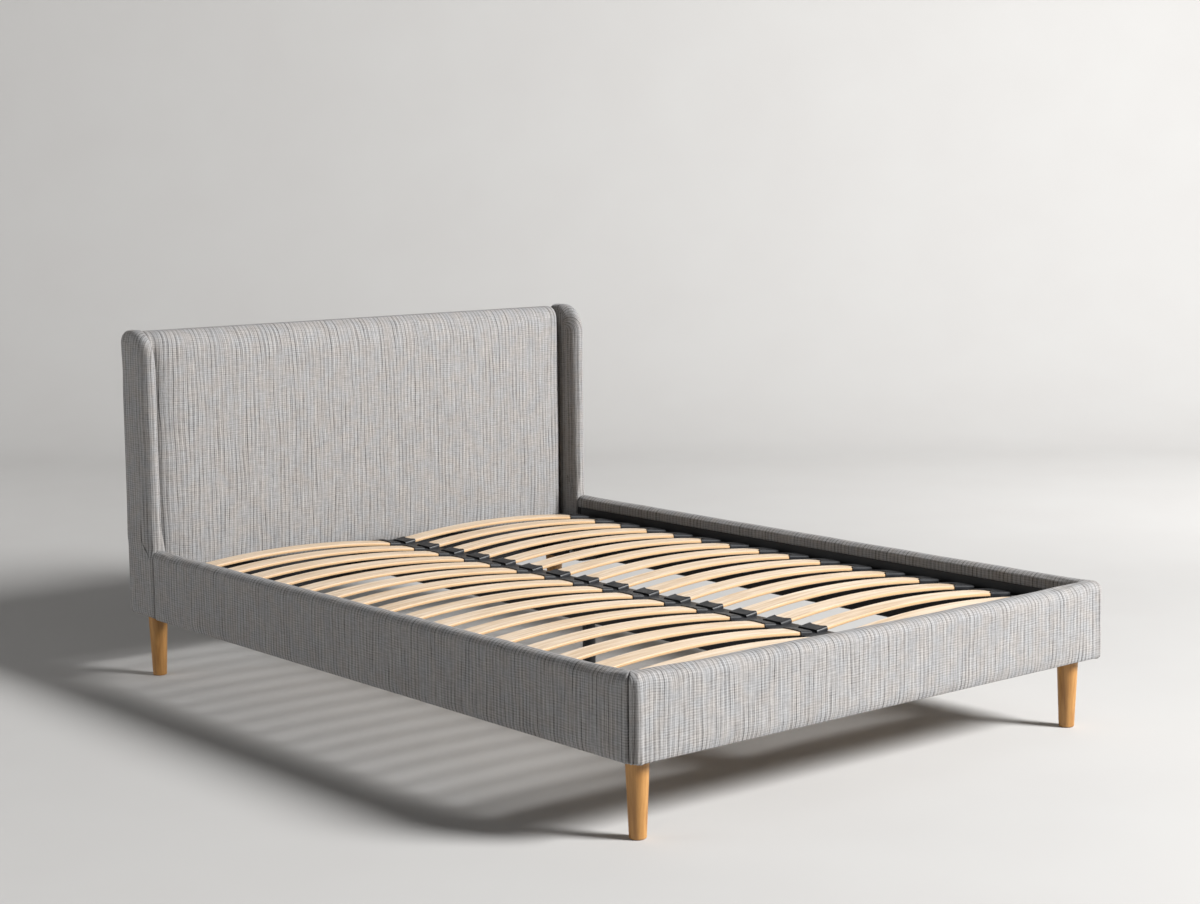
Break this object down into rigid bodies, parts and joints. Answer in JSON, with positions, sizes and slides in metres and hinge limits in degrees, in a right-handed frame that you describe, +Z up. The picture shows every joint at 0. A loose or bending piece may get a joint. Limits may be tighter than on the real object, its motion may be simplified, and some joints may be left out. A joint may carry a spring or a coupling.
{
  "type": "double bed frame",
  "caption": "Upholstered double bed frame with a padded headboard between short wings, sprung slats in two banks, a centre beam and tapered wooden legs.",
  "frame": {"origin": "on the floor, under the middle of the bed's outline", "axes": "+Y from the foot to the headboard, +X to the right as seen from the foot, +Z up"},
  "size_m": [1.45, 2.035, 0.912],
  "materials": {
    "grey_fabric": "slubby linen-look weave over foam",
    "black_cloth": "thin non-woven dust cloth",
    "pine": "planed, unfinished",
    "plywood": "sanded, unfinished",
    "birch_ply": "pressed birch ply, smooth",
    "oak": "turned, clear satin lacquer",
    "black_steel": "powder coated, satin",
    "zinc_steel": "zinc plated",
    "black_plastic": "moulded, fine texture"
  },
  "bodies": {
    "frame": {"headboard_frame": "pine", "headboard_board": "plywood", "headboard_pad": "grey_fabric", "wing_boards": "pine", "wing_pad_left": "grey_fabric", "wing_pad_right": "grey_fabric", "side_board_left": "pine", "side_board_right": "pine", "foot_board": "pine", "side_pad_left": "grey_fabric", "side_pad_right": "grey_fabric", "foot_pad": "grey_fabric", "dust_cloths": "black_cloth", "slat_rail_left": "black_steel", "slat_rail_right": "black_steel", "slat_end_caps": "black_plastic", "slat_saddles": "black_plastic", "centre_beam": "black_steel", "beam_hangers": "black_steel", "centre_leg": "black_steel", "leg_front_left": "oak", "leg_front_right": "oak", "leg_back_left": "oak", "leg_back_right": "oak", "corner_blocks": "pine", "frame_bolts": "zinc_steel", "leg_bolts": "zinc_steel", "slat_left_01": "birch_ply", "slat_left_02": "birch_ply", "slat_left_03": "birch_ply", "slat_left_04": "birch_ply", "slat_left_05": "birch_ply", "slat_left_06": "birch_ply", "slat_left_07": "birch_ply", "slat_left_08": "birch_ply", "slat_left_09": "birch_ply", "slat_left_10": "birch_ply", "slat_left_11": "birch_ply", "slat_left_12": "birch_ply", "slat_left_13": "birch_ply", "slat_left_14": "birch_ply", "slat_left_15": "birch_ply", "slat_left_16": "birch_ply", "slat_right_01": "birch_ply", "slat_right_02": "birch_ply", "slat_right_03": "birch_ply", "slat_right_04": "birch_ply", "slat_right_05": "birch_ply", "slat_right_06": "birch_ply", "slat_right_07": "birch_ply", "slat_right_08": "birch_ply", "slat_right_09": "birch_ply", "slat_right_10": "birch_ply", "slat_right_11": "birch_ply", "slat_right_12": "birch_ply", "slat_right_13": "birch_ply", "slat_right_14": "birch_ply", "slat_right_15": "birch_ply", "slat_right_16": "birch_ply"},
    "levelling_foot": {"levelling_foot": "black_plastic"}
  },
  "joints": [
    {"name": "levelling_slide", "type": "slide", "parent": "frame", "child": "levelling_foot", "axis": [0, 0, 1], "range_m": [-0.012, 0.012]}
  ]
}
